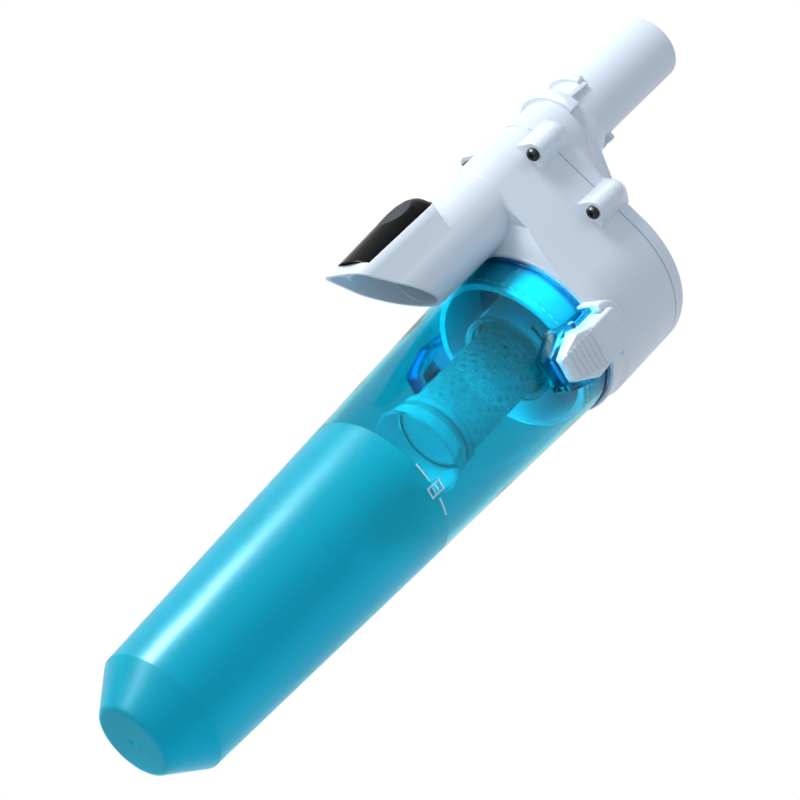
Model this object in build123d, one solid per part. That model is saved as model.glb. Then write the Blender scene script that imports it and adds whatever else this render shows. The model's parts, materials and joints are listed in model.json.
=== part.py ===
from build123d import *
import os
from math import asin, cos, degrees, pi, radians, sin, tan

os.makedirs("parts", exist_ok=True)

# Cyclone attachment for a stick vacuum cleaner. Z is the pipe line: the outlet spigot points up into
# the cleaner, the inlet socket opens downwards for the wand. The dust case hangs beside it, at +X.
# Z = 0 is the open end of the spigot. All sizes are in millimetres.

# Pipe line
pipe_radius = 16.0
spigot_length = 70.0
spigot_wall = 2.2
spigot_seat = 18.6
spigot_seat_step = 0.3
socket_clearance = 0.15
socket_wall = 1.95
socket_depth = 61.5
throat_step = 1.8
lead_in_step = 0.3
mouth_tilt = 41.0

# Dust case
case_radius = 41.5
case_shoulder_radius = 29.35
case_end_radius = 17.0
case_length = 270.0
case_shoulder_height = 17.7
case_wall = 2.0
case_end_rounding = 3.0
case_to_socket_gap = 0.8
case_lip_height = 2.5
case_lip_proud = 0.4
gate_radius = 4.0
gate_depth = 0.8

# Head housing, cover and the plate clamped between them
drum_overhang = 3.0
drum_wall = 2.6
chamber_height = 41.0
cover_height = 27.0
rim_height = 8.0
split_groove_height = 0.5
split_groove_depth = 0.9
rim_rounding = 2.4
roof_level = 17.0
roof_radius = 21.0
roof_small_radius = 17.2
roof_spacing = 40.0
root_level = 25.0
root_radius = 19.0
root_small_radius = 16.6
root_spacing = 5.0
fairing_level = 39.0
fairing_offset = 1.2
fairing_sink = 1.0
foot_taper = 1.2
foot_taper_height = 4.0
apron_width = 12.0
shoulder_drop = 4.0
shell_step = 0.3
shoulder_rounding = 3.0
skirt_height = 7.4
skirt_proud = 1.3
skirt_wall = 2.0
skirt_gap = 0.6
neck_depth = 17.1
neck_wall = 3.2
neck_clearance = 1.0
rebate_width = 1.2
seat_clearance = 0.2
plate_thickness = 2.4
gasket_height = 1.0

# Vortex tube and filter
vortex_radius = 22.0
vortex_wall = 2.0
filter_radius = 17.0
filter_wall = 1.6
filter_length = 54.0
filter_neck_height = 16.0
filter_flange_height = 2.5
filter_clearance = 0.6
hole_diameter = 2.5
hole_pitch = 3.9
hole_columns = 18
hole_sides = 6
lug_count = 3
lug_width = 8.0
lug_height = 3.0
lug_reach = 1.4
lug_gap = 0.3
twist_angle = 30.0
bell_radius = 21.5
bell_height = 12.0
bell_overlap = 3.0
bell_wall = 1.8

# Seals
case_seal_height = 2.0
case_seal_depth = 1.8
case_seal_proud = 0.3
filter_seal_height = 2.0
filter_seal_depth = 1.2
filter_seal_proud = 0.3

# Housing screws and their bosses
screw_radius = 1.5
screw_length = 18.0
screw_head_radius = 3.1
screw_head_height = 2.2
screw_drive_width = 1.0
boss_radius = 5.0
boss_base_width = 16.0
boss_drop = 13.5
boss_rise = 3.6
boss_taper = 4.4
boss_taper_height = 5.0
boss_standoff = 4.8
socket_boss_angle = 114.0
wall_boss_along = 36.8
screw_hole_clearance = 0.05
screw_end_gap = 0.6

# Case release levers, measured out from the case axis
lever_top_width = 18.6
lever_wide_width = 22.6
lever_nose_width = 11.6
lever_rise = 4.5
lever_knee_drop = 10.0
lever_wide_drop = 18.0
lever_drop = 29.3
lever_face = 15.5
lever_nose_inset = 5.6
lever_back = 2.6
lever_plate = 3.0
lever_wall = 2.4
lever_rib_count = 7
lever_rib_width = 1.2
lever_rib_height = 0.8
lever_clearance = 0.7
bezel_wall = 2.3
bezel_reach = 7.6
bezel_rounding = 2.0
bezel_edge = 0.9
lever_edge = 1.2
pivot_drop = 12.0
pivot_reach = 5.5
pivot_radius = 1.25
pivot_clearance = 0.05
catch_hang = 4.0
catch_width = 25.6
catch_height = 10.4
catch_rounding = 9.0
catch_edge = 1.5
catch_gap = 0.6
tooth_width = 11.0
tooth_drop = 0.6
tooth_height = 2.4
tooth_reach = 3.7
tooth_clearance = 0.3
catch_pocket_depth = 2.5

# Leaf springs
leaf_thickness = 0.4
leaf_width = 6.0
leaf_length = 15.0
leaf_gap = 0.2

# Wand lock on the socket
hood_reach = 22.0
hood_width = 27.0
hood_corner = 7.0
hood_root = 0.3
hood_top_drop = 19.0
hood_gable = 0.72
hood_lip_wall = 1.5
hood_lip_depth = 4.0
hood_slope_length = 9.0
button_width = 20.4
button_length = 49.5
button_top_drop = 24.5
button_underside = 20.0
button_clearance = 0.4
button_pivot_drop = 27.0
button_pivot_reach = 18.6
button_low_reach = 24.0
pocket_floor_wall = 0.8
dimple_radius = 15.0
dimple_depth = 1.5
dimple_drop = 12.0
lock_hook_width = 7.0
lock_hook_height = 4.0
lock_hook_rise = 7.0
lock_hook_gap = 0.5
lock_lug_reach = 1.5
lock_pin_end_cover = 0.3

# Crowned form of the button: drop from its top, half width, reach at the middle and at the edge
button_sections = [
    (0.0, 6.4, 22.4, 20.7),
    (1.6, 8.6, 24.4, 20.9),
    (4.0, 9.8, 25.3, 21.1),
    (9.0, 10.2, 26.1, 21.5),
    (15.0, 10.2, 26.2, 21.6),
    (24.0, 10.2, 25.6, 21.4),
    (40.0, 10.2, 24.6, 21.0),
    (52.0, 10.2, 23.8, 20.8),
]

# Lock prongs on the spigot: half angle about -X, then (radius, height above the root) outlines
fin_half_angle = 59.0
fin_outline = [(15.0, 3.0), (20.4, 0.6), (21.2, -0.4), (21.2, -3.4), (19.8, -5.4), (15.0, -5.4)]
bar_half_angle = 31.0
bar_outline = [(15.0, 18.0), (18.4, 17.4), (18.9, 16.4), (18.9, 14.4), (18.2, 13.4), (15.0, 13.0)]
web_angle = 42.0
web_half_angle = 3.2
web_outline = [(15.0, 16.0), (18.2, 14.6), (19.6, 0.0), (15.0, 0.0)]
back_half_angle = 30.0
back_outline = [(15.0, 1.6), (18.6, 1.0), (19.2, 0.0), (18.6, -1.2), (15.0, -1.6)]
back_levels = (10.0, 16.0)

# Sizes worked out from the driving ones
socket_bore = pipe_radius + socket_clearance
tube_radius = socket_bore + socket_wall
axis_offset = tube_radius + case_to_socket_gap + case_radius
drum_radius = case_radius + drum_overhang
skirt_radius = case_radius + skirt_proud
neck_radius = case_radius - case_wall - neck_clearance
neck_bore = neck_radius - neck_wall
vortex_bore = vortex_radius - vortex_wall
filter_neck_radius = vortex_bore - filter_clearance
spigot_bore = pipe_radius - spigot_wall

z_root = -spigot_length
z_seat = z_root + spigot_seat
z_split = z_root - cover_height
z_rim = z_split + rim_height
z_foot = z_split - chamber_height
z_floor = z_foot + drum_wall
z_plate = z_split - plate_thickness
z_ledge = z_plate - gasket_height
z_skirt = z_foot - skirt_height
z_case = z_skirt - skirt_gap
z_catch = z_skirt - catch_hang
z_bezel = z_catch - skirt_gap
z_case_end = z_case - case_length
z_neck = z_skirt - neck_depth
z_flange = z_neck - lug_gap
z_filter_end = z_flange - filter_flange_height - filter_length
z_boss = z_split - boss_drop
z_pivot = z_bezel - pivot_drop
z_mouth = z_foot - socket_depth
z_lead_in = z_mouth + tube_radius * tan(radians(mouth_tilt))

wall_lean = asin((drum_radius - tube_radius - shell_step) / axis_offset)
case_slope = (case_radius - case_shoulder_radius) / (case_length - case_shoulder_height)
at_case = Pos(axis_offset, 0, 0)


def case_outside(z):
    """Outer radius of the tapered dust case at a height."""
    return case_radius - case_slope * (z_case - z)


def disc(radius, z_low, z_high):
    """Cylinder on the pipe line between two heights."""
    return extrude(Pos(0, 0, z_low) * Circle(radius), amount=z_high - z_low)


def ring(outer, inner, z_low, z_high):
    """Tube on the pipe line between two heights."""
    return extrude(Pos(0, 0, z_low) * (Circle(outer) - Circle(inner)), amount=z_high - z_low)


def turned(points):
    """Solid turned about Z from (radius, height) points."""
    return revolve(make_face(Plane.XZ * Polyline(points, close=True)), Axis.Z)


def round_pair(big, small, spacing):
    """Outline of two circles joined by their outer tangents, the small one on the pipe line."""
    lean = asin((big - small) / spacing)
    side = Vector(-sin(lean), cos(lean))
    other = Vector(-sin(lean), -cos(lean))
    far = Vector(spacing, 0)
    outline = (
        Line(side * small, far + side * big)
        + ThreePointArc(far + side * big, far + Vector(big, 0), far + other * big)
        + Line(far + other * big, other * small)
        + ThreePointArc(other * small, Vector(-small, 0), side * small)
    )
    return make_face(outline)


def pear(inset):
    """Plan of the head: drum and socket tube with their tangent walls, set in by a wall."""
    return round_pair(drum_radius - inset, tube_radius + shell_step - inset, axis_offset)


def pear_block(inset, z_low, z_high):
    """The head's plan raised between two heights."""
    return extrude(Pos(0, 0, z_low) * pear(inset), amount=z_high - z_low)


def front_and_rear(front):
    """The piece on the -Y side of the case and its twin turned half a turn about the case axis."""
    return at_case * front, at_case * Rot(0, 0, 180) * front


def out_profile(points, width):
    """Solid of (distance from the axis, height) points on the -Y side, centred on X."""
    face = make_face(Polyline([(-d, z) for d, z in points], close=True))
    return extrude(Plane.YZ * face, amount=width / 2, both=True)


def front_prism(sketch, near, far):
    """A front-view outline (X, Z) carried outwards towards -Y between two distances."""
    return extrude(Plane.XZ.offset(near) * sketch, amount=far - near)


# Screw places: beside the socket tube and on the tangent walls, on both sides
def screw_places():
    places = []
    for way in (-1, 1):
        turn = radians(socket_boss_angle)
        out = tube_radius + boss_standoff
        places.append((Vector(cos(turn), way * sin(turn)), Vector(cos(turn), way * sin(turn)) * out))
        normal = Vector(-sin(wall_lean), way * cos(wall_lean))
        along = Vector(cos(wall_lean), way * sin(wall_lean))
        places.append((normal, normal * out + along * wall_boss_along))
    return places


def boss_outline(normal, centre, inward):
    """Plan of a screw boss: a round end drawn out to a wide foot on the wall."""
    foot = centre - normal * (boss_standoff + socket_wall / 2)
    along = Vector(-normal.Y, normal.X) * (boss_base_width / 2)
    end = centre - normal * inward
    round_end = Pos(end.X, end.Y) * Circle(boss_radius)
    return make_hull([*round_end.edges(), Line(foot - along, foot + along)])


def bosses(z_low, z_high):
    """Screw bosses between two heights."""
    plans = [boss_outline(normal, centre, 0) for normal, centre in screw_places()]
    return [extrude(Pos(0, 0, z_low) * plan, amount=z_high - z_low) for plan in plans]


def boss_tops(z_low):
    """Tops of the bosses, leaning back to the wall."""
    made = []
    for normal, centre in screw_places():
        low = Pos(0, 0, z_low) * boss_outline(normal, centre, 0)
        high = Pos(0, 0, z_low + boss_taper_height) * boss_outline(normal, centre, boss_taper)
        made.append(loft([low, high], ruled=True))
    return made


def screw_holes(radius, z_low, z_high):
    return [Pos(c.X, c.Y, 0) * disc(radius, z_low, z_high) for _, c in screw_places()]


# Dust case: tapered cup with a bevelled end, and a hexagonal bezel round each release lever
def lever_outline(margin):
    """Front view of a lever, grown by a margin."""
    top = z_catch + lever_rise + margin
    half = (lever_top_width / 2 + margin, lever_wide_width / 2 + margin, lever_nose_width / 2 + margin)
    knee = z_bezel - lever_knee_drop
    wide = z_bezel - lever_wide_drop
    nose = z_bezel - lever_drop - margin
    right = [(half[0], top), (half[0], knee), (half[1], wide), (half[2], nose)]
    left = [(-x, z) for x, z in reversed(right)]
    return make_face(Polyline(right + left, close=True))


def case_cup(inset, floor, top):
    """Solid of the case's outline, set in by a wall and cut off at a height."""
    z_shoulder = z_case_end + case_shoulder_height
    points = [
        (0, z_case_end + floor),
        (case_end_radius - inset / 2, z_case_end + floor),
        (case_shoulder_radius - inset, z_shoulder + inset / 3),
        (case_outside(top) - inset, top),
        (0, top),
    ]
    cup = turned(points)
    ends = cup.edges().filter_by(GeomType.CIRCLE).sort_by(Axis.Z)
    return fillet(ends[0], case_end_rounding)


def dust_case():
    z_top = z_case
    inside = case_cup(case_wall, case_wall, z_top)
    outer = lever_outline(lever_clearance + bezel_wall)
    outer = fillet(outer.vertices(), bezel_rounding)
    reach = case_radius + bezel_reach
    frame = front_prism(outer, 0, reach)
    frame -= front_prism(lever_outline(lever_clearance), 0, reach)
    frame -= disc(4 * reach, z_bezel, z_bezel + case_length)
    frame = fillet(frame.edges().group_by(Axis.Y)[0], bezel_edge)
    frame -= inside
    frame -= pivot_pin_front(pivot_clearance / 5)
    cup = case_cup(0, 0, z_top)
    cup += disc(case_radius + case_lip_proud, z_top - case_lip_height, z_top)
    cup -= inside
    cup -= Pos(0, 0, z_case_end + gate_depth - gate_radius) * Sphere(gate_radius)
    for bezel in (frame, Rot(0, 0, 180) * frame):
        cup += bezel
    return at_case * cup


def pivot_pin_front(grow):
    """Pin across the bezel, blind in both side walls."""
    half = lever_wide_width / 2 + lever_clearance + bezel_wall / 2
    pin = extrude(Plane.YZ * Circle(pivot_radius + grow), amount=half, both=True)
    return Pos(0, -(case_radius + pivot_reach), z_pivot) * pin


def lever_pocket():
    """Side view of the hollow behind the lever's finger pad, where its spring sits."""
    z_low = z_bezel - lever_drop + lever_wall
    z_high = z_pivot - 2 * lever_wall
    far_low = case_radius + lever_back + 2 * lever_wall
    far_high = case_radius + lever_face - lever_nose_inset
    return [(0, z_low), (far_low, z_low), (far_high, z_high), (0, z_high)]


def outer_edges(faces):
    """Edges round a patch of neighbouring faces, without those between them."""
    found = [e for f in faces for e in f.edges()]
    return [e for e in found if sum(e.is_same(other) for other in found) == 1]


def release_lever_front():
    face = case_radius + lever_face
    back = case_radius + lever_back
    z_top = z_catch + lever_rise
    z_knee = z_bezel - lever_knee_drop
    z_nose = z_bezel - lever_drop
    plate_back = face - lever_plate
    body = [
        (plate_back, z_top),
        (face, z_top),
        (face, z_knee),
        (face - lever_nose_inset, z_nose),
        (back, z_nose),
        (back, z_bezel - lever_clearance),
        (plate_back, z_bezel - lever_clearance),
    ]
    lever = out_profile(body, 2 * lever_wide_width)
    outline = lever_outline(0)
    knees = outline.vertices().group_by(Axis.Y)[-2]
    outline = fillet([v for v in outline.vertices() if v not in knees], bezel_rounding)
    lever &= front_prism(outline, 0, 2 * face)
    front = lever.faces().filter_by(lambda f: f.normal_at().Y < -0.9)
    lever = fillet(outer_edges(front), lever_edge)
    lever -= out_profile(lever_pocket(), lever_nose_width)
    for k in range(lever_rib_count):
        share = (k + 1) / (lever_rib_count + 1)
        d = face - lever_nose_inset * share
        z = z_knee + (z_nose - z_knee) * share
        rib_width = 2 * (lever_wide_width / 2 - lever_wall) * (1 - share / 3)
        rib = Box(rib_width, 2 * lever_rib_height, lever_rib_width)
        lever += Pos(0, -d, z) * rib
    tooth_back = plate_back - tooth_reach
    z_tooth = z_top - tooth_drop
    tooth = [
        (plate_back, z_tooth),
        (tooth_back, z_tooth - tooth_height / 3),
        (tooth_back, z_tooth - tooth_height),
        (plate_back, z_tooth - tooth_height),
    ]
    lever += out_profile(tooth, tooth_width)
    return lever - pivot_pin_front(pivot_clearance)


def release_spring_front():
    """V-shaped leaf: one leg on the case wall, the other in the lever's pocket."""
    z_low = z_bezel - lever_drop + 2 * lever_wall
    z_high = z_pivot - 3 * lever_wall
    foot = case_outside(z_high) + leaf_gap
    (roof_low, z_roof_low), (roof_high, z_roof_high) = lever_pocket()[1:3]
    share = (z_high - z_roof_low) / (z_roof_high - z_roof_low)
    tip = roof_low + (roof_high - roof_low) * share - leaf_gap
    z_end = z_low - leaf_thickness
    base = [(foot, z_high), (foot + leaf_thickness, z_high), (foot + leaf_thickness, z_end), (foot, z_end)]
    leg = [
        (foot, z_end),
        (foot, z_low),
        (tip - leaf_thickness, z_high),
        (tip, z_high),
        (foot + leaf_thickness, z_end),
    ]
    return out_profile(base, leaf_width) + out_profile(leg, leaf_width)


# Inlet housing: drum, skirt and neck for the case, socket tube with its lock hood
def catch_front():
    """Arched block over the lever, with the pocket that the lever's tooth drops into."""
    far = case_radius + lever_face - lever_plate - catch_gap
    z_top = z_catch + catch_height
    corners = [
        (-catch_width / 2, z_catch),
        (catch_width / 2, z_catch),
        (catch_width / 2, z_top),
        (-catch_width / 2, z_top),
    ]
    outline = make_face(Polyline(corners, close=True))
    outline = fillet(outline.vertices().group_by(Axis.Y)[-1], catch_rounding)
    block = front_prism(outline, 0, far)
    block = fillet(block.edges().group_by(Axis.Y)[0].sort_by(Axis.Z)[1:], catch_edge)
    block -= disc(case_radius + case_lip_proud + catch_gap, z_catch, z_skirt)
    lip = case_radius + lever_face - lever_plate - tooth_reach - tooth_clearance
    z_tooth = z_catch + lever_rise - tooth_drop
    wide = tooth_width + 2 * tooth_clearance + catch_gap
    way_in = [(lip, z_catch), (2 * far, z_catch), (2 * far, z_tooth + catch_gap), (lip, z_tooth + catch_gap)]
    groove_low = z_tooth - tooth_height - catch_gap
    groove = [
        (lip - catch_pocket_depth, groove_low),
        (2 * far, groove_low),
        (2 * far, z_tooth + catch_gap),
        (lip - catch_pocket_depth, z_tooth + catch_gap),
    ]
    return block - out_profile(way_in, wide) - out_profile(groove, wide)


def hood_plan(inset):
    """Socket tube's plan drawn out towards -X to carry the lock button, set in by a wall."""
    corner_x = hood_reach - hood_corner
    corner_y = hood_width / 2 - hood_corner
    edges = [*Circle(tube_radius - hood_root - inset).edges()]
    for way in (-1, 1):
        edges += (Pos(-corner_x, way * corner_y) * Circle(hood_corner - inset)).edges()
    return make_hull(edges)


def mouth_cut():
    """Block below the slanted mouth, low on the button side."""
    big = 12 * tube_radius
    block = Box(big, big, big, align=(Align.CENTER, Align.CENTER, Align.MAX))
    return Pos(0, 0, z_mouth) * Rot(0, -mouth_tilt, 0) * block


def side_profile(points, width):
    """Solid of (X, Z) points, centred on Y."""
    return extrude(Plane.XZ * make_face(Polyline(points, close=True)), amount=width / 2, both=True)


z_hood = z_foot - hood_top_drop
z_button = z_foot - button_top_drop
z_button_end = z_button - button_length
z_lock_pin = z_button - button_pivot_drop
z_hook = z_button_end + lock_hook_rise
button_floor = socket_bore + pocket_floor_wall
mouth_slope = tan(radians(mouth_tilt))


def lock_pin(grow):
    """Pin across the hood, blind in both cheeks."""
    spread = hood_corner**2 - (button_pivot_reach + pivot_radius - hood_reach + hood_corner) ** 2
    half = hood_width / 2 - hood_corner + spread**0.5 - lock_pin_end_cover
    pin = extrude(Plane.XZ * Circle(pivot_radius + grow), amount=half, both=True)
    return Pos(-button_pivot_reach, 0, z_lock_pin) * pin


def button_foot(reach, drop):
    """Height of the button's slanted lower end at a distance from the pipe line."""
    return z_button_end - drop + mouth_slope * (button_low_reach - reach)


def button_pocket():
    """Room for the lock button, open towards -X, with the hook's window into the socket."""
    wide = button_width + 2 * button_clearance
    top = z_button + button_clearance
    far = 2 * hood_reach
    room = [
        (-button_floor, top),
        (-far, top),
        (-far, button_foot(far, button_clearance)),
        (-button_floor, button_foot(button_floor, button_clearance)),
    ]
    play = 2 * button_clearance
    window = [
        (0, z_hook + lock_hook_height + play),
        (-far, z_hook + lock_hook_height + play),
        (-far, z_hook - play),
        (0, z_hook - play),
    ]
    return side_profile(room, wide) + side_profile(window, lock_hook_width + 2 * play)


def socket():
    """Socket tube with the hood for the lock button, cut off along the slanted mouth."""
    low = z_mouth - 3 * tube_radius
    flank = [
        (0, z_hood),
        (-tube_radius, z_hood),
        (-hood_reach, z_hood - hood_slope_length),
        (-hood_reach, low),
        (0, low),
    ]
    side = 2 * hood_width
    gable = [(0, z_hood), (side, z_hood - hood_gable * side), (side, low), (-side, low)]
    gable.append((-side, z_hood - hood_gable * side))
    hood = extrude(Pos(0, 0, low) * hood_plan(0), amount=z_hood - low)
    hood &= side_profile(flank, side)
    hood &= extrude(Plane.YZ * make_face(Polyline(gable, close=True)), amount=-2 * hood_reach)
    return disc(tube_radius, low, z_floor) + hood - mouth_cut()


def hood_lip():
    """Hollow behind the mouth's edge, where the hood is wider than the bore."""
    low = z_mouth - 3 * tube_radius
    plan = extrude(Pos(0, 0, low) * hood_plan(hood_lip_wall), amount=z_hood - low)
    return plan & (Pos(0, 0, hood_lip_depth) * mouth_cut())


def apron():
    """Sloping underside from the skirt's rim up to the foot of the head's walls."""
    cone = [
        (0, z_skirt),
        (skirt_radius - shell_step, z_skirt),
        (skirt_radius + apron_width, z_foot + shell_step),
        (0, z_foot + shell_step),
    ]
    return (at_case * turned(cone)) & pear_block(foot_taper, z_skirt, z_foot + shell_step)


def inlet_housing():
    z_taper = z_foot + foot_taper_height
    shell = pear_block(0, z_taper, z_split)
    shell += loft([Pos(0, 0, z_foot) * pear(foot_taper), Pos(0, 0, z_taper) * pear(0)], ruled=True)
    shell += socket()
    shell += at_case * disc(skirt_radius, z_skirt, z_floor)
    shell += apron()
    shell += at_case * disc(neck_radius, z_neck, z_floor)
    for catch in front_and_rear(catch_front()):
        shell += catch
    for boss in bosses(z_boss, z_split):
        shell += boss
    shell -= pear_block(drum_wall, z_floor, z_split)
    shell -= pear_block(rebate_width, z_ledge, z_split)
    shell -= at_case * disc(neck_bore, z_neck, z_split)
    groove_top = z_foot - drum_wall
    shell -= at_case * ring(skirt_radius - skirt_wall, neck_radius, z_skirt, groove_top)
    seal_low = z_neck + case_seal_height
    seal_floor = neck_radius - case_seal_depth
    seal_room = at_case * ring(neck_radius + neck_wall, seal_floor, seal_low, seal_low + case_seal_height)
    shell -= seal_room
    shell -= disc(socket_bore + lead_in_step, z_mouth - 3 * tube_radius, z_lead_in)
    shell -= disc(socket_bore, z_lead_in, z_foot)
    shell -= disc(socket_bore - throat_step, z_foot, z_split)
    shell -= hood_lip()
    shell -= button_pocket()
    shell -= lock_pin(pivot_clearance / 5)
    for hole in screw_holes(screw_radius + screw_hole_clearance, z_boss, z_split):
        shell -= hole
    return shell


def case_seal():
    seal_low = z_neck + case_seal_height
    inner = neck_radius - case_seal_depth
    outer = neck_radius + case_seal_proud
    return at_case * ring(outer, inner, seal_low, seal_low + case_seal_height)


# Wand lock: rocking button, its pin and the leaf spring under its upper end
def pipe_lock_button():
    sections = []
    for drop, half, middle, edge in button_sections:
        outline = (
            Line((-button_underside, half), (-button_underside, -half))
            + Line((-button_underside, -half), (-edge, -half))
            + ThreePointArc((-edge, -half), (-middle, 0), (-edge, half))
            + Line((-edge, half), (-button_underside, half))
        )
        sections.append(Pos(0, 0, z_button - drop) * make_face(outline))
    button = loft(sections[:2], ruled=True)
    for pair in zip(sections[1:], sections[2:]):
        button += loft(list(pair), ruled=True)
    far = 2 * hood_reach
    z_below = button_foot(far, far)
    below = [(0, button_foot(0, 0)), (-far, button_foot(far, 0)), (-far, z_below), (0, z_below)]
    button -= side_profile(below, 2 * hood_width)
    crest = max(middle for _, _, middle, _ in button_sections)
    button -= Pos(-(crest + dimple_radius - dimple_depth), 0, z_button - dimple_drop) * Sphere(dimple_radius)
    hook_in = -(socket_bore + lock_hook_gap)
    hook = [
        (-button_underside, z_hook + lock_hook_height),
        (hook_in, z_hook + lock_hook_height),
        (-button_underside, z_hook),
    ]
    button += side_profile(hook, lock_hook_width)
    lug_in = -(button_pivot_reach - lock_lug_reach)
    lug_half = 2 * pivot_radius
    lug = [
        (-button_underside, z_lock_pin + 2 * lug_half),
        (lug_in, z_lock_pin + lug_half / 2),
        (lug_in, z_lock_pin - lug_half / 2),
        (-button_underside, z_lock_pin - 2 * lug_half),
    ]
    button += side_profile(lug, button_width / 2)
    return button - lock_pin(pivot_clearance)


def pipe_lock_spring():
    """V-shaped leaf under the button's upper end."""
    top = z_button - leaf_width
    low = top - leaf_length
    floor = -(button_floor + leaf_gap)
    under = -(button_underside - leaf_gap)
    base = [(floor, top), (floor - leaf_thickness, top), (floor - leaf_thickness, low), (floor, low)]
    leg = [
        (floor, low),
        (under + leaf_thickness, top),
        (under, top),
        (floor - leaf_thickness, low),
    ]
    return side_profile(base, leaf_width) + side_profile(leg, leaf_width)


# Outlet cover: eccentric hood from the drum to the spigot
def cover_solid(inset, z_low):
    """Outer or inner form of the cover: upright rim, rounded edge and fairing to the pipe line."""
    sections = []
    for turn in (0, pi / 4, pi / 2):
        set_in = rim_rounding * (1 - cos(turn))
        level = z_rim - rim_rounding * (1 - sin(turn))
        sections.append(Pos(0, 0, level - inset) * pear(inset + set_in))
    end = pipe_radius - fairing_sink
    above = [
        (roof_level, roof_radius, roof_small_radius, roof_spacing),
        (root_level, root_radius, root_small_radius, root_spacing),
        (fairing_level, end, end - fairing_offset / 4, fairing_offset),
    ]
    for level, big, small, spacing in above:
        outline = round_pair(big - inset, small - inset, spacing)
        sections.append(Pos(0, 0, z_split + level - inset) * outline)
    body = pear_block(inset, z_low, z_rim - rim_rounding - inset)
    for low, high in zip(sections, sections[1:]):
        body += loft([low, high], ruled=True)
    return body


def prong(outline, middle, half, level):
    """Piece of a collar on the spigot, turned about Z from a (radius, height) outline."""
    face = make_face(Plane.XZ * Polyline([(r, z_root + level + z) for r, z in outline], close=True))
    return Rot(0, 0, middle - half) * revolve(face, Axis.Z, revolution_arc=2 * half)


def prongs():
    """Catches for the cleaner's lock: a fin and a bar on -X, joined by webs, and a pair of bars on +X."""
    made = prong(fin_outline, 180, fin_half_angle, 0)
    made += prong(bar_outline, 180, bar_half_angle, 0)
    for way in (-1, 1):
        made += prong(web_outline, 180 + way * web_angle, web_half_angle, 0)
    for level in back_levels:
        made += prong(back_outline, 0, back_half_angle, level)
    return made


def outlet_cover():
    shoulder = disc(tube_radius, z_split + drum_wall, z_root - shoulder_drop)
    shoulder = fillet(shoulder.edges().group_by(Axis.Z)[-1], shoulder_rounding)
    cover = cover_solid(0, z_split)
    cover += shoulder
    cover += disc(pipe_radius + spigot_seat_step, z_split, z_seat)
    cover += disc(pipe_radius, z_split, 0)
    cover += prongs()
    for boss in bosses(z_split, z_split + boss_rise) + boss_tops(z_split + boss_rise):
        cover += boss
    z_groove = z_split + split_groove_height
    groove = pear_block(-split_groove_depth, z_split, z_groove) - pear_block(split_groove_depth, z_split, z_groove)
    cover -= groove
    cover -= cover_solid(drum_wall, z_split)
    cover -= disc(spigot_bore, z_split, 0)
    screw_end = z_boss + screw_length + screw_end_gap
    for hole in screw_holes(screw_radius + screw_hole_clearance, z_split, screw_end):
        cover -= hole
    return cover


def vortex_plate():
    """Plate that shuts the inlet chamber, with the vortex tube hanging from it."""
    plate = extrude(Pos(0, 0, z_plate) * pear(rebate_width + seat_clearance), amount=plate_thickness)
    plate += at_case * disc(vortex_radius, z_neck, z_plate)
    plate -= at_case * disc(vortex_bore, z_neck, z_split)
    lug_turn = degrees(lug_width / filter_neck_radius)
    play = degrees(2 * lug_gap / filter_neck_radius)
    lug_low = z_neck + lug_height
    for k in range(lug_count):
        start = 360 * k / lug_count
        run_turn = lug_turn + twist_angle + play
        run = arc_block(start - play / 2, run_turn, lug_low - lug_gap, lug_height + 2 * lug_gap)
        entry = arc_block(start + twist_angle - play / 2, lug_turn + play, z_neck, 2 * lug_height)
        plate -= at_case * run
        plate -= at_case * entry
    return plate


def arc_block(start, turn, z_low, height):
    """Sector block that reaches through the vortex tube's wall."""
    inner = filter_neck_radius - filter_clearance
    face = Plane.XZ * Pos(inner, z_low) * Rectangle(vortex_radius, height, align=(Align.MIN, Align.MIN))
    return Rot(0, 0, start) * revolve(face, Axis.Z, revolution_arc=turn)


def housing_seal():
    """Flat gasket on the housing's ledge, under the plate."""
    outer = pear(rebate_width + seat_clearance)
    return extrude(Pos(0, 0, z_ledge) * (outer - pear(drum_wall)), amount=gasket_height)


def housing_screws():
    """Four pan-head screws that clamp cover, plate and housing."""
    made = []
    for _, centre in screw_places():
        head = disc(screw_head_radius, z_boss - screw_head_height, z_boss)
        head = chamfer(head.edges().group_by(Axis.Z)[0], screw_head_height / 3)
        screw = head + disc(screw_radius, z_boss, z_boss + screw_length)
        depth = Pos(0, 0, z_boss - screw_head_height)
        for turn in (0, 90):
            screw -= depth * Rot(0, 0, turn) * Box(screw_head_radius, screw_drive_width, screw_head_height)
        made.append(Pos(centre.X, centre.Y, 0) * screw)
    return Compound(children=made)


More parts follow.
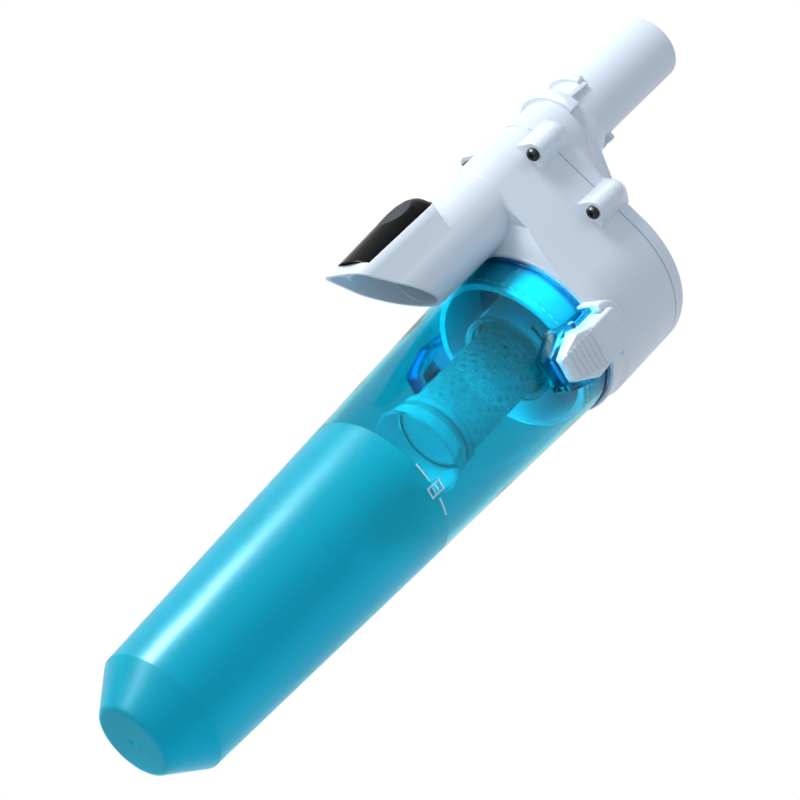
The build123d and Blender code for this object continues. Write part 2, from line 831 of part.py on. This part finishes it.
# Filter: bayonet neck, flange and perforated tube, with a bell skirt at its lower end
def filter_tube():
    z_low = z_filter_end
    z_under = z_flange - filter_flange_height
    bore = filter_radius - filter_wall
    flats = 2 * hole_columns
    half_step = 180 / flats
    section = RegularPolygon(filter_radius, flats) - RegularPolygon(bore, flats)
    tube = extrude(Pos(0, 0, z_low) * Rot(0, 0, half_step) * section, amount=z_under + lug_gap - z_low)
    tube += ring(vortex_radius, bore - filter_wall / 2, z_under, z_flange)
    tube += ring(filter_neck_radius, bore, z_flange - lug_gap, z_flange + filter_neck_height)
    lug_turn = degrees(lug_width / filter_neck_radius)
    z_lug = z_neck + lug_height
    reach = vortex_bore + lug_reach
    for k in range(lug_count):
        face = Plane.XZ * Pos(bore, z_lug) * Rectangle(reach - bore, lug_height, align=(Align.MIN, Align.MIN))
        tube += Rot(0, 0, 360 * k / lug_count) * revolve(face, Axis.Z, revolution_arc=lug_turn)
    z_seal = z_flange + filter_neck_height - 2 * filter_seal_height
    inner = filter_neck_radius - filter_seal_depth
    tube -= ring(2 * vortex_radius, inner, z_seal, z_seal + filter_seal_height)
    rows = int((filter_length - bell_overlap - hole_pitch / 2) / hole_pitch)
    drills = []
    for row in range(rows):
        z = z_under - hole_pitch * (row + 0.75)
        for column in range(hole_columns):
            turn = 360 * (column + 0.5 * (row % 2)) / hole_columns
            opening = Plane.YZ.offset(bore - filter_wall) * RegularPolygon(hole_diameter / 2, hole_sides)
            drill = extrude(opening, amount=3 * filter_wall)
            drills.append(Pos(0, 0, z) * Rot(0, 0, turn) * drill)
    tube -= drills
    return at_case * tube


def filter_seal():
    z_seal = z_flange + filter_neck_height - 2 * filter_seal_height
    inner = filter_neck_radius - filter_seal_depth
    outer = filter_neck_radius + filter_seal_proud
    return at_case * ring(outer, inner, z_seal, z_seal + filter_seal_height)


def filter_skirt():
    """Bell that closes the filter tube and throws the dust outwards."""
    inner = filter_radius + seat_clearance / 2
    outer = inner + bell_wall
    z_top = z_filter_end + bell_overlap
    z_rim_low = z_filter_end - bell_height
    points = [
        (0, z_filter_end),
        (inner, z_filter_end),
        (inner, z_top),
        (outer, z_top),
        (outer, z_filter_end - bell_wall),
        (bell_radius, z_rim_low),
        (bell_radius - bell_wall, z_rim_low),
        (inner - bell_wall / 2, z_filter_end - 2 * bell_wall),
        (0, z_filter_end - 2 * bell_wall),
    ]
    return at_case * turned(points)


nodes = {
    "dust_case": dust_case(),
    "inlet_housing": inlet_housing(),
    "outlet_cover": outlet_cover(),
    "vortex_plate": vortex_plate(),
    "housing_seal": housing_seal(),
    "housing_screws": housing_screws(),
    "case_seal": case_seal(),
    "filter_tube": filter_tube(),
    "filter_seal": filter_seal(),
    "filter_skirt": filter_skirt(),
    "pipe_lock_button": pipe_lock_button(),
    "pipe_lock_pin": lock_pin(0),
    "pipe_lock_spring": pipe_lock_spring(),
}
pairs = {
    "release_lever": release_lever_front(),
    "release_pin": pivot_pin_front(0),
    "release_spring": release_spring_front(),
}
for name, front in pairs.items():
    nodes[name + "_front"], nodes[name + "_rear"] = front_and_rear(front)

for name, solid in nodes.items():
    export_step(solid, f"parts/{name}.step")
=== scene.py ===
# %% [markdown]
# # Dressing a cyclone dust separator
# The attachment sits between a stick vacuum cleaner and its wand. Dusty air enters the slanted socket,
# spins in the see-through case, drops its dust there and leaves through a perforated filter and the spigot.
# This lesson loads the solid model as a fixed frame and gives every piece the surface that it has in the hand.

# %% Load the frame
import json
from math import radians

import bpy
import numpy as np
from mathutils import Matrix, Vector


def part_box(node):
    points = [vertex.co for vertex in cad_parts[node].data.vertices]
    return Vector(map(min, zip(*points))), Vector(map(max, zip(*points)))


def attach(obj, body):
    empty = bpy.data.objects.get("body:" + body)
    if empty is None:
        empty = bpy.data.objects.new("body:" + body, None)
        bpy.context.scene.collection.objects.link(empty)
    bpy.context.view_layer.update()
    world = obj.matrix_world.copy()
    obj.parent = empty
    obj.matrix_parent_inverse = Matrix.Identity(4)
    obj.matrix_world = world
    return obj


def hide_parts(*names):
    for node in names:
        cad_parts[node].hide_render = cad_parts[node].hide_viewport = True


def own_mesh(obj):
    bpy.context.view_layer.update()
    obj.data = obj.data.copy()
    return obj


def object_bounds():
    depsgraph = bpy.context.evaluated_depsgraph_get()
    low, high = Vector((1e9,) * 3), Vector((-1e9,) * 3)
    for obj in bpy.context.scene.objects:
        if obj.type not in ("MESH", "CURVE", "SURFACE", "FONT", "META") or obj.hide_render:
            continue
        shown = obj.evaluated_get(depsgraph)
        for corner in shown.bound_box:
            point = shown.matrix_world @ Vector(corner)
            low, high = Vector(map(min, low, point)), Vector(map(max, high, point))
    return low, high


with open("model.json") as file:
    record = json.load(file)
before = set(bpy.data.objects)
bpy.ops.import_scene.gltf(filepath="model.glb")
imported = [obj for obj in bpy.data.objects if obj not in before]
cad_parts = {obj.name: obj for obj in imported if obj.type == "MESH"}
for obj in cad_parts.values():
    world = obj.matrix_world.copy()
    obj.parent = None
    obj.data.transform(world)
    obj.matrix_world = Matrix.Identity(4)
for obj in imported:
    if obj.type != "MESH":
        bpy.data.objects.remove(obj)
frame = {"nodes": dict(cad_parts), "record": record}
cad_low, cad_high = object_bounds()
MM = 0.001
case_low, case_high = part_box("dust_case")
case_axis_x = (case_low.x + case_high.x) / 2
case_top = case_high.z
print("solid model", [round(v / MM) for v in cad_high - cad_low], "mm, case axis at x", round(case_axis_x / MM, 1))

# %% [markdown]
# ## Small tools for materials
# Colours are written as sRGB hex values, as on a paint card, and one function turns them to the linear
# values that the renderer adds up. A second function adds a shader node with its settings and links, so each
# finish below reads as a short recipe.


# %% Colour and node tools
def linear(hex_colour):
    """sRGB hex to linear RGBA: c / 12.92 below 0.04045, else ((c + 0.055) / 1.055) to the power 2.4."""
    c = np.array([int(hex_colour[i:i + 2], 16) for i in (1, 3, 5)]) / 255
    c = np.where(c <= 0.04045, c / 12.92, ((c + 0.055) / 1.055) ** 2.4)
    return (*c.tolist(), 1.0)


def add(tree, kind, links=None, **settings):
    """Adds one node: settings are its properties or sockets, links feed its inputs from other outputs."""
    node = tree.nodes.new(kind)
    for name, value in settings.items():
        if hasattr(node, name):
            setattr(node, name, value)
        else:
            node.inputs[name.replace("_", " ")].default_value = value
    for name, source in (links or {}).items():
        tree.links.new(source, node.inputs[name])
    return node


def finish_of(name, colour, **settings):
    """A new material: its node tree, its Principled shader and the object coordinates."""
    material = bpy.data.materials.new(name)
    material.use_nodes = True
    tree = material.node_tree
    shader = tree.nodes["Principled BSDF"]
    shader.inputs["Base Color"].default_value = linear(colour)
    for socket, value in settings.items():
        shader.inputs[socket.replace("_", " ")].default_value = value
    place = add(tree, "ShaderNodeTexCoord").outputs["Object"]
    return material, tree, shader, place


def grain(tree, shader, place, size, depth, edge=None):
    """Fine relief: noise with grains of a real size, as bump of a real depth, over softened edges."""
    noise = add(tree, "ShaderNodeTexNoise", {"Vector": place}, Scale=1 / size, Detail=2.0)
    bump = add(tree, "ShaderNodeBump", {"Height": noise.outputs["Fac"]}, Distance=depth)
    if edge:
        soft = add(tree, "ShaderNodeBevel", Radius=edge, samples=6)
        tree.links.new(soft.outputs["Normal"], bump.inputs["Normal"])
    tree.links.new(bump.outputs["Normal"], shader.inputs["Normal"])
    return noise


def blend(tree, share, first, second):
    """Mix by a share from 0 (first) to 1 (second). A colour is a hex value or another node's output."""
    node = add(tree, "ShaderNodeMix", {0: share}, data_type="RGBA")
    for socket, colour in ((6, first), (7, second)):
        if isinstance(colour, str):
            node.inputs[socket].default_value = linear(colour)
        else:
            tree.links.new(colour, node.inputs[socket])
    return node.outputs[2]


print("tools ready")

# %% [markdown]
# ## White ABS
# Head, cover and levers are injection-moulded ABS, a nearly white plastic with a cool tint. The mould was
# spark-eroded, so the skin has a fine satin grain that spreads the highlights, and its edges are softly
# rounded. The roughness wanders a little, as it does where the melt met the mould unevenly.


# %% White ABS
def white_abs():
    material, tree, shader, place = finish_of("white_abs_moulded", "#DCE5EF", Roughness=0.36, IOR=1.53)
    grain(tree, shader, place, size=0.5 * MM, depth=0.012 * MM, edge=0.5 * MM)
    cloud = add(tree, "ShaderNodeTexNoise", {"Vector": place}, Scale=1 / (25 * MM), Detail=3.0)
    rough = add(tree, "ShaderNodeMapRange", {"Value": cloud.outputs["Fac"]}, To_Min=0.30, To_Max=0.44)
    tree.links.new(rough.outputs["Result"], shader.inputs["Roughness"])
    return material


# %% [markdown]
# ## Teal case plastic
# The case is moulded in one shot from a see-through teal plastic. The mould is polished above the fill line
# and blasted below it, so the same plastic is clear at the top and frosted further down. One shader does
# both: a mask on the height mixes the roughness and the share of light that goes straight through. The lip
# and the bezels round the levers are thicker than the wall, so their colour is deeper and bluer.

# %% Teal case plastic
fill_line = -258.7 * MM
bezel_from = 42.6 * MM
lip_from = case_top - 3 * MM


def teal_case():
    material, tree, shader, place = finish_of("teal_san_clear_and_frosted", "#10C2D6", IOR=1.22,
                                              Specular_IOR_Level=0.4)
    spot = add(tree, "ShaderNodeSeparateXYZ", {"Vector": place}).outputs
    mask = add(tree, "ShaderNodeMapRange", {"Value": spot["Z"]}, From_Min=fill_line - 0.3 * MM,
               From_Max=fill_line + 0.3 * MM)
    clear = mask.outputs["Result"]
    outward = add(tree, "ShaderNodeMath", {0: spot["Y"]}, operation="ABSOLUTE").outputs[0]
    bezel = add(tree, "ShaderNodeMapRange", {"Value": outward}, From_Min=bezel_from, From_Max=bezel_from + 0.8 * MM)
    lip = add(tree, "ShaderNodeMapRange", {"Value": spot["Z"]}, From_Min=lip_from, From_Max=lip_from + 0.5 * MM)
    thick = add(tree, "ShaderNodeMath", {0: bezel.outputs["Result"], 1: lip.outputs["Result"]}, operation="MAXIMUM")
    colour = blend(tree, clear, "#00AFC2", "#10C2D6")
    colour = blend(tree, thick.outputs[0], colour, "#1E96C4")
    rough = add(tree, "ShaderNodeMapRange", {"Value": clear}, To_Min=0.30, To_Max=0.03)
    through = add(tree, "ShaderNodeMapRange", {"Value": clear}, To_Min=0.5, To_Max=1.0)
    tree.links.new(colour, shader.inputs["Base Color"])
    tree.links.new(rough.outputs["Result"], shader.inputs["Roughness"])
    tree.links.new(through.outputs["Result"], shader.inputs["Transmission Weight"])
    return material


# %% [markdown]
# ## Black gloss, silicone and steel
# The lock button is polished black ABS with a matt thumb pad, an oval that a mask on the object's own
# coordinates cuts out. The seals are pale silicone, pins and leaf springs are bright spring steel, and the
# screws have the dull black of an oxide bath.

# %% Black gloss, silicone and steel
pad_middle = Vector((-26.0, 0, -176.5)) * MM
pad_half = Vector((6.0, 6.6, 10.0)) * MM


def black_gloss():
    material, tree, shader, place = finish_of("black_abs_polished", "#0A0B0D", IOR=1.53, Specular_IOR_Level=0.07)
    grain(tree, shader, place, size=3 * MM, depth=0.01 * MM, edge=0.4 * MM)
    oval = add(tree, "ShaderNodeMapping", {"Vector": place}, vector_type="TEXTURE", Location=pad_middle,
               Scale=pad_half)
    reach = add(tree, "ShaderNodeVectorMath", {0: oval.outputs["Vector"]}, operation="LENGTH")
    mask = add(tree, "ShaderNodeMapRange", {"Value": reach.outputs["Value"]}, From_Min=0.92, From_Max=1.0)
    outside = mask.outputs["Result"]
    rough = add(tree, "ShaderNodeMapRange", {"Value": outside}, To_Min=0.5, To_Max=0.16)
    tree.links.new(rough.outputs["Result"], shader.inputs["Roughness"])
    tree.links.new(blend(tree, outside, "#3A3F45", "#0A0B0D"), shader.inputs["Base Color"])
    return material


def silicone_seal():
    material, tree, shader, place = finish_of("pale_silicone_moulded", "#BCD3DA", Roughness=0.55)
    grain(tree, shader, place, size=0.8 * MM, depth=0.02 * MM)
    return material


def spring_steel():
    material, tree, shader, place = finish_of("spring_steel_drawn", "#B9BBBE", Metallic=1.0, Roughness=0.28)
    grain(tree, shader, place, size=0.4 * MM, depth=0.004 * MM)
    return material


def black_screw():
    material, tree, shader, place = finish_of("black_oxide_steel", "#222427", Metallic=0.5, Roughness=0.4)
    grain(tree, shader, place, size=0.6 * MM, depth=0.01 * MM, edge=0.3 * MM)
    return material


def filter_teal():
    material, tree, shader, place = finish_of("pale_teal_san_see_through", "#DDF6F9", Roughness=0.08, IOR=1.2,
                                              Transmission_Weight=0.8, Specular_IOR_Level=0.12)
    return material


finishes = {
    "white_abs": white_abs(),
    "teal_case": teal_case(),
    "filter_plastic": filter_teal(),
    "black_gloss": black_gloss(),
    "silicone_seal": silicone_seal(),
    "spring_steel": spring_steel(),
    "black_screw": black_screw(),
}
print(len(finishes), "finishes")

# %% [markdown]
# ## Smooth skins on the solid pieces
# A solid arrives as loose triangles, which would shade as flats. Each visible piece is copied with its
# corners merged, shaded smooth and kept sharp where two faces meet at a real edge.

# %% Smooth skins
SHARP = radians(28)


def dressed(node):
    """Copy of a solid's triangles: equal corners become one, edges over the sharp angle stay edges."""
    source = frame["nodes"][node].data
    co = np.empty(len(source.vertices) * 3, np.float32)
    source.vertices.foreach_get("co", co)
    corners = np.empty(len(source.loops), np.int32)
    source.loops.foreach_get("vertex_index", corners)
    places, index = np.unique(np.round(co.reshape(-1, 3), 7), axis=0, return_inverse=True)
    faces = index.reshape(-1)[corners].reshape(-1, 3)
    whole = (faces[:, 0] != faces[:, 1]) & (faces[:, 1] != faces[:, 2]) & (faces[:, 2] != faces[:, 0])
    mesh = bpy.data.meshes.new(node + "_skin")
    mesh.from_pydata(places.tolist(), [], faces[whole].tolist())
    mesh.shade_smooth()
    mesh.set_sharp_from_angle(angle=SHARP)
    piece = bpy.data.objects.new(node + "_skin", mesh)
    bpy.context.scene.collection.objects.link(piece)
    weights = piece.modifiers.new("even_shading", "WEIGHTED_NORMAL")
    weights.keep_sharp = True
    return piece


bodies = {n: b for b, ns in frame["record"]["behaviour"]["bodies"].items() for n in ns}
skins = {}
for part in frame["record"]["subparts"]:
    node, slot = part["node"], part["material_slot"]
    piece = dressed(node)
    piece.data.materials.append(finishes[slot])
    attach(piece, bodies[node])
    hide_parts(node)
    piece.visible_shadow = slot != "teal_case"
    skins[node] = piece
print(len(skins), "skins")

# %% [markdown]
# ## Leaf springs
# Each release lever and the lock button rest on a leaf spring. When they are pressed, the leaf flattens
# against the wall behind it. Each spring's skin gets a mesh of its own; the table's joint, wall direction and
# kept share are listed but not used.

# %% Leaf springs
leaf_springs = [
    ("release_spring_front", "front_release", (0, 1, 0), 0.8),
    ("release_spring_rear", "rear_release", (0, -1, 0), 0.8),
    ("pipe_lock_spring", "pipe_lock", (1, 0, 0), 0.45),
]
for node, joint, axis, keep in leaf_springs:
    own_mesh(skins[node])
print(len(leaf_springs), "leaf springs")

# %% [markdown]
# ## Rims and marks
# Seen through the clear wall, the open ends of neck and vortex tube show as bright rings, because their
# rims are rounded and catch the light. They are laid on as thin beads. The case has a printed fill line and a
# small jar sign beside it. Both are strips that follow the case's cone at a hair's distance.


# %% Rims and marks
def grid_piece(name, points, slot, body):
    """Surface from a (rows, columns, 3) array: each cell of the array becomes one quad."""
    rows, columns = points.shape[:2]
    index = np.arange(rows * columns).reshape(rows, columns)
    quads = np.stack([index[:-1, :-1], index[:-1, 1:], index[1:, 1:], index[1:, :-1]], axis=-1)
    mesh = bpy.data.meshes.new(name)
    mesh.from_pydata(points.reshape(-1, 3).tolist(), [], quads.reshape(-1, 4).tolist())
    mesh.shade_smooth()
    piece = bpy.data.objects.new(name, mesh)
    bpy.context.scene.collection.objects.link(piece)
    mesh.materials.append(finishes[slot])
    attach(piece, body)
    return piece


def bead(name, radius, thick, z, body):
    """Torus about the case axis: ((R + t cos v) cos u, (R + t cos v) sin u, z + t sin v)."""
    u, v = np.meshgrid(np.linspace(0, 2 * np.pi, 145), np.linspace(0, 2 * np.pi, 17), indexing="ij")
    out = radius + thick * np.cos(v)
    points = np.stack([out * np.cos(u), out * np.sin(u), z + thick * np.sin(v)], axis=-1) * MM
    return grid_piece(name, points + np.array([case_axis_x, 0, 0]), "white_abs", body)


bead("neck_rim_bead", 38.1, 0.4, -162.35, "head")
bead("vortex_rim_bead", 21.5, 0.45, -162.3, "head")

cone_radius, cone_slope, lift = 41.5, 0.04816, 0.06


def strip(name, middle_turn, middle_z, width, height):
    """Band on the case's cone: r(z) = r0 - slope (z0 - z) + lift, over a width and a height in mm."""
    half = width / 2 / (cone_radius - cone_slope * (case_top / MM - middle_z))
    turns = radians(middle_turn) + np.linspace(-half, half, max(3, int(width / 0.8)))
    u, z = np.meshgrid(turns, middle_z + np.linspace(-height / 2, height / 2, 3), indexing="ij")
    out = cone_radius - cone_slope * (case_top / MM - z) + lift
    points = np.stack([out * np.cos(u), out * np.sin(u), z], axis=-1) * MM
    return grid_piece(name, points + np.array([case_axis_x, 0, 0]), "white_abs", "dust_case")


mark_turn, mark_z = -89.0, fill_line / MM
strip("fill_line_left", mark_turn - 14, mark_z, 9.0, 0.7)
strip("fill_line_right", mark_turn + 14, mark_z, 9.0, 0.7)
strip("jar_floor", mark_turn, mark_z - 3.0, 5.0, 0.6)
strip("jar_level", mark_turn, mark_z + 1.4, 3.2, 0.5)
strip("jar_level_low", mark_turn, mark_z - 0.6, 3.2, 0.5)
strip("jar_lid", mark_turn, mark_z + 4.0, 5.6, 0.8)
per_degree = np.pi / 180 * (cone_radius - cone_slope * (case_top / MM - mark_z))
for side in (-1, 1):
    strip(f"jar_wall_{side + 1}", mark_turn + side * 2.2 / per_degree, mark_z + 0.3, 0.6, 6.0)
print("2 beads, 8 strips")

# %% [markdown]
# ## Camera
# The picture was taken from below and in front, with a long lens and the camera rolled so that the case
# points down to the left. The three rows are the picture's right, up and towards-the-viewer directions.

# %% Camera
lens, sensor = 112.5, 36.0
camera_place = Vector((-321.084, -806.297, -800.505)) * MM
to_right = Vector((0.48779946, -0.64064424, 0.59298115))
to_top = Vector((-0.80374528, -0.06452803, 0.59146400))
to_viewer = Vector((-0.34065409, -0.76512162, -0.54639152))
camera = bpy.data.objects.new("camera", bpy.data.cameras.new("camera"))
camera.data.lens, camera.data.sensor_width = lens, sensor
turn = Matrix((to_right, to_top, to_viewer)).transposed().to_4x4()
camera.matrix_world = Matrix.Translation(camera_place) @ turn
bpy.context.scene.collection.objects.link(camera)
bpy.context.scene.camera = camera
print("camera at", [round(v, 3) for v in camera_place])

# %% [markdown]
# ## Light and floor
# A studio picture on white: an even surround, a large soft lamp from the upper left and a long strip that
# draws the highlight down the case. The surround shows as plain white to the camera, in reflections and
# through the clear plastic, and lights the rest more gently.

# %% Light and floor
scene = bpy.context.scene
scene.view_settings.view_transform = "Standard"
middle = (cad_low + cad_high) / 2


def lamp(name, right, top, near, size, length, power):
    """Area lamp placed by the picture's own directions, in metres from the object, aimed at its middle."""
    light = bpy.data.lights.new(name, "AREA")
    light.shape = "RECTANGLE"
    light.size, light.size_y, light.energy = size, length, power
    lamp_object = bpy.data.objects.new(name, light)
    away = to_right * right + to_top * top + to_viewer * near
    lamp_object.location = middle + away
    lamp_object.rotation_euler = away.to_track_quat("Z", "Y").to_euler()
    scene.collection.objects.link(lamp_object)
    return lamp_object


lamp("key_softbox", -0.75, 1.15, 0.3, 0.7, 0.7, 15)
lamp("case_strip", -0.78, 0.8, 0.36, 0.26, 1.1, 120).visible_diffuse = False

world = bpy.data.worlds.new("white_surround")
scene.world = world
world.use_nodes = True
tree = world.node_tree
path = add(tree, "ShaderNodeLightPath").outputs
seen = path["Is Camera Ray"]
for ray in ("Is Glossy Ray", "Is Transmission Ray"):
    seen = add(tree, "ShaderNodeMath", {0: seen, 1: path[ray]}, operation="MAXIMUM").outputs[0]
level = add(tree, "ShaderNodeMapRange", {"Value": seen}, To_Min=0.62, To_Max=1.0)
surround = tree.nodes["Background"]
tree.links.new(blend(tree, seen, "#E2ECF8", "#FFFFFF"), surround.inputs["Color"])
tree.links.new(level.outputs["Result"], surround.inputs["Strength"])

floor_level = -1.3
floor_mesh = bpy.data.meshes.new("floor")
span = 4.0
floor_mesh.from_pydata([(-span, -span, floor_level), (span, -span, floor_level), (span, span, floor_level),
                        (-span, span, floor_level)], [], [(0, 1, 2, 3)])
floor = bpy.data.objects.new("floor", floor_mesh)
scene.collection.objects.link(floor)
paper, _, _, _ = finish_of("white_paper", "#F4F4F2", Roughness=0.8)
floor.data.materials.append(paper)
print("lamps and floor ready")
